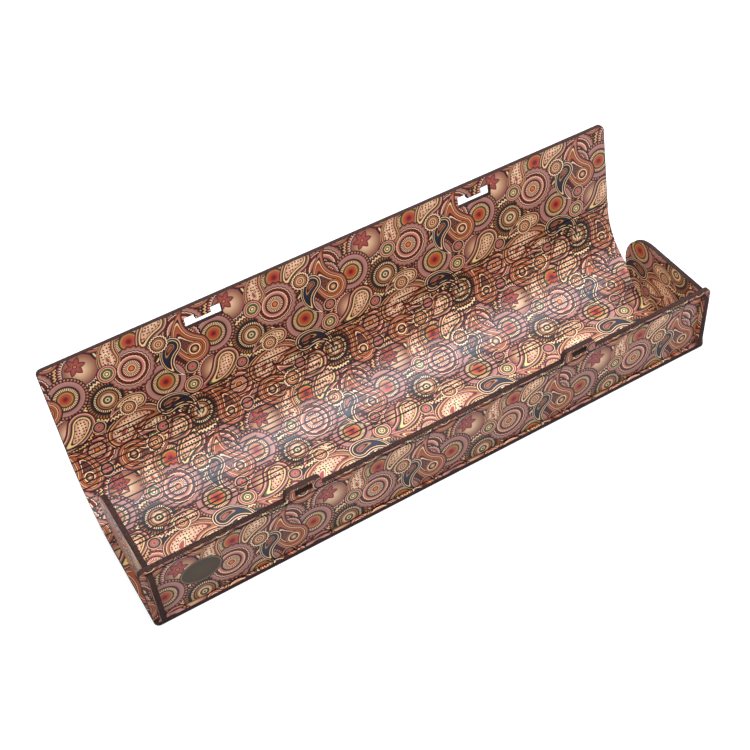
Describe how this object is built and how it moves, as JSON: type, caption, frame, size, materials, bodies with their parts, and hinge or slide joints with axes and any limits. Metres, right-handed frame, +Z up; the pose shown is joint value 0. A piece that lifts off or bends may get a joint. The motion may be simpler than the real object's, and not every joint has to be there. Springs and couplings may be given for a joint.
{
  "type": "brush box with hinged lid",
  "caption": "Long flat-pack box for artists' brushes, of thin printed board, with rounded end panels, a bending slit hinge that runs into a latching lid, and a low tray.",
  "frame": {"origin": "centre of the underside of the flat base board", "axes": "+X along the box to its right end, +Y from the front wall towards the slit hinge, +Z up"},
  "size_m": [0.35, 0.1086, 0.0928],
  "materials": {
    "wrap_board": "3 mm fibreboard, printed with an ornamental pattern and lacquered satin, cut edges scorched dark brown",
    "wall_board": "3 mm fibreboard, printed with an ornamental pattern and lacquered satin, cut edges scorched dark brown",
    "panel_board": "3 mm fibreboard, printed with an ornamental pattern and lacquered satin, cut edges scorched dark brown"
  },
  "bodies": {
    "box": {"base_board": "wrap_board", "front_wall": "wall_board", "left_end_panel": "panel_board", "right_end_panel": "panel_board"},
    "slat_01": {"hinge_slat_01": "wrap_board"},
    "slat_02": {"hinge_slat_02": "wrap_board"},
    "slats_03_04": {"hinge_slat_03": "wrap_board", "hinge_slat_04": "wrap_board"},
    "slats_05_06": {"hinge_slat_05": "wrap_board", "hinge_slat_06": "wrap_board"},
    "slats_07_08": {"hinge_slat_07": "wrap_board", "hinge_slat_08": "wrap_board"},
    "slats_09_10": {"hinge_slat_09": "wrap_board", "hinge_slat_10": "wrap_board"},
    "slats_11_12": {"hinge_slat_11": "wrap_board", "hinge_slat_12": "wrap_board"},
    "slats_13_14": {"hinge_slat_13": "wrap_board", "hinge_slat_14": "wrap_board"},
    "slats_15_16": {"hinge_slat_15": "wrap_board", "hinge_slat_16": "wrap_board"},
    "slats_17_18": {"hinge_slat_17": "wrap_board", "hinge_slat_18": "wrap_board"},
    "slats_19_20": {"hinge_slat_19": "wrap_board", "hinge_slat_20": "wrap_board"},
    "slats_21_22": {"hinge_slat_21": "wrap_board", "hinge_slat_22": "wrap_board"},
    "slat_23": {"hinge_slat_23": "wrap_board"},
    "slat_24": {"hinge_slat_24": "wrap_board"},
    "lid": {"lid_panel": "wrap_board"}
  },
  "joints": [
    {"name": "heel_fold", "type": "hinge", "parent": "box", "child": "slat_01", "pos_m": [0, 0.02517, 0.0015], "axis": [1, 0, 0], "range_deg": [0, 6.05]},
    {"name": "slit_row_02", "type": "hinge", "parent": "slat_01", "child": "slat_02", "pos_m": [0, 0.02802, 0.0015], "axis": [1, 0, 0], "range_deg": [0, 6.05]},
    {"name": "lid_fold", "type": "hinge", "parent": "slat_02", "child": "slats_03_04", "pos_m": [0, 0.03086, 0.0015], "axis": [1, 0, 0], "range_deg": [-7.27, 7.26]},
    {"name": "slit_row_05", "type": "hinge", "parent": "slats_03_04", "child": "slats_05_06", "pos_m": [0, 0.03652, 0.00207], "axis": [1, 0, 0], "range_deg": [-7.27, 7.26]},
    {"name": "slit_row_07", "type": "hinge", "parent": "slats_05_06", "child": "slats_07_08", "pos_m": [0, 0.04204, 0.00338], "axis": [1, 0, 0], "range_deg": [-7.27, 7.26]},
    {"name": "slit_row_09", "type": "hinge", "parent": "slats_07_08", "child": "slats_09_10", "pos_m": [0, 0.04735, 0.00541], "axis": [1, 0, 0], "range_deg": [-7.27, 7.26]},
    {"name": "slit_row_11", "type": "hinge", "parent": "slats_09_10", "child": "slats_11_12", "pos_m": [0, 0.05234, 0.00813], "axis": [1, 0, 0], "range_deg": [-7.27, 7.26]},
    {"name": "slit_row_13", "type": "hinge", "parent": "slats_11_12", "child": "slats_13_14", "pos_m": [0, 0.05693, 0.01148], "axis": [1, 0, 0], "range_deg": [-7.27, 7.26]},
    {"name": "slit_row_15", "type": "hinge", "parent": "slats_13_14", "child": "slats_15_16", "pos_m": [0, 0.06103, 0.01542], "axis": [1, 0, 0], "range_deg": [-7.27, 7.26]},
    {"name": "slit_row_17", "type": "hinge", "parent": "slats_15_16", "child": "slats_17_18", "pos_m": [0, 0.06457, 0.01986], "axis": [1, 0, 0], "range_deg": [-7.27, 7.26]},
    {"name": "slit_row_19", "type": "hinge", "parent": "slats_17_18", "child": "slats_19_20", "pos_m": [0, 0.0675, 0.02473], "axis": [1, 0, 0], "range_deg": [-7.27, 7.26]},
    {"name": "slit_row_21", "type": "hinge", "parent": "slats_19_20", "child": "slats_21_22", "pos_m": [0, 0.06975, 0.02995], "axis": [1, 0, 0], "range_deg": [-7.27, 7.26]},
    {"name": "slit_row_23", "type": "hinge", "parent": "slats_21_22", "child": "slat_23", "pos_m": [0, 0.07129, 0.03542], "axis": [1, 0, 0], "range_deg": [-7.27, 7.26]},
    {"name": "lid_press", "type": "hinge", "parent": "slat_23", "child": "slat_24", "pos_m": [0, 0.07178, 0.03822], "axis": [1, 0, 0], "range_deg": [0, 8]},
    {"name": "latch_slide", "type": "slide", "parent": "slat_24", "child": "lid", "axis": [0, 0.1736, 0.9848], "range_m": [0, 0.0031], "stiffness_N_per_m": 150, "springref_m": -0.012}
  ],
  "couplings": [
    {"joint": "slit_row_02", "follows": "heel_fold", "ratio": 1},
    {"joint": "slit_row_05", "follows": "lid_fold", "ratio": 1},
    {"joint": "slit_row_07", "follows": "lid_fold", "ratio": 1},
    {"joint": "slit_row_09", "follows": "lid_fold", "ratio": 1},
    {"joint": "slit_row_11", "follows": "lid_fold", "ratio": 1},
    {"joint": "slit_row_13", "follows": "lid_fold", "ratio": 1},
    {"joint": "slit_row_15", "follows": "lid_fold", "ratio": 1},
    {"joint": "slit_row_17", "follows": "lid_fold", "ratio": 1},
    {"joint": "slit_row_19", "follows": "lid_fold", "ratio": 1},
    {"joint": "slit_row_21", "follows": "lid_fold", "ratio": 1},
    {"joint": "slit_row_23", "follows": "lid_fold", "ratio": 1}
  ]
}
